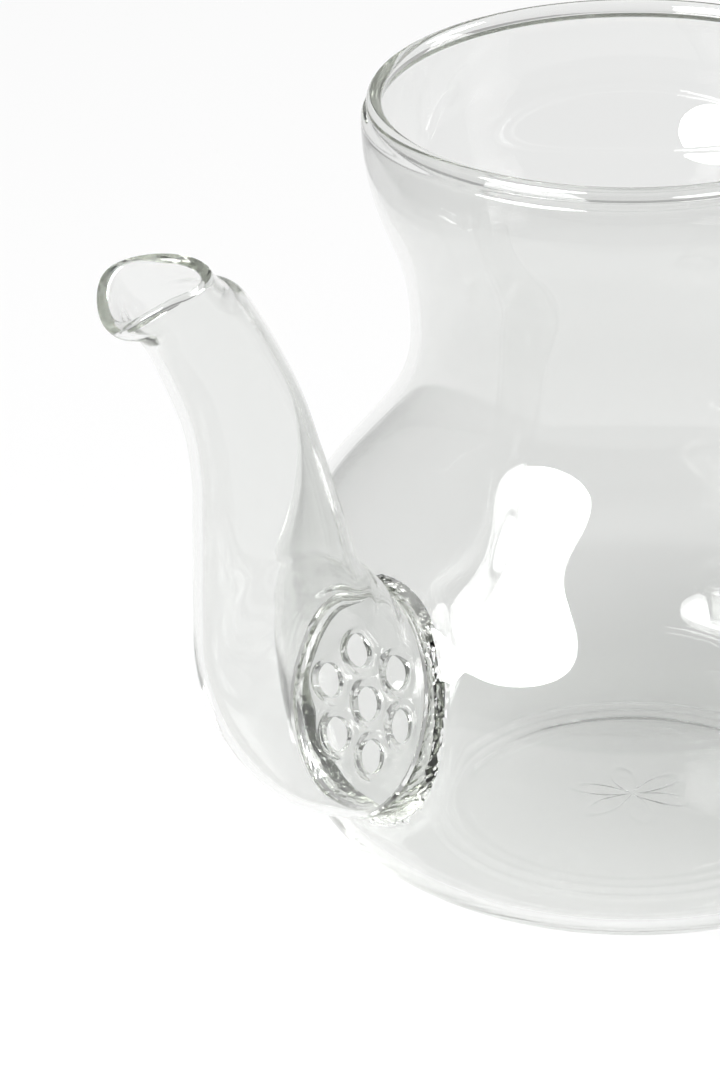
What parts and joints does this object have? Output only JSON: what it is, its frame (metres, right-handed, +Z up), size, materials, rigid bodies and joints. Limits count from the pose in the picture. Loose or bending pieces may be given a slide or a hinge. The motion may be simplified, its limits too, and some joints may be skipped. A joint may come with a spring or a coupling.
{
  "type": "glass teapot",
  "caption": "Open glass teapot with a flared neck, a strainer plate welded behind its side spout, and a loop handle.",
  "frame": {"origin": "centre of the pot's flat underside, on the pot's axis", "axes": "+Z up the pot's axis, -X the way the spout points, +X towards the handle, +Y across, on the right of someone who looks along the spout from the handle"},
  "size_m": [0.2501, 0.142, 0.154],
  "materials": {
    "clear_glass": "clear blown glass, fire polished",
    "strainer_glass": "clear pressed glass, soft hole edges",
    "weld_glass": "clear flame-worked glass, with a rough ground edge inside the collar",
    "handle_glass": "clear solid rod, flame bent"
  },
  "bodies": {
    "root": {"body": "clear_glass", "spout": "clear_glass", "strainer_plate": "strainer_glass", "spout_collar": "weld_glass", "handle": "handle_glass", "handle_upper_weld": "weld_glass", "handle_lower_weld": "weld_glass"}
  },
  "joints": []
}
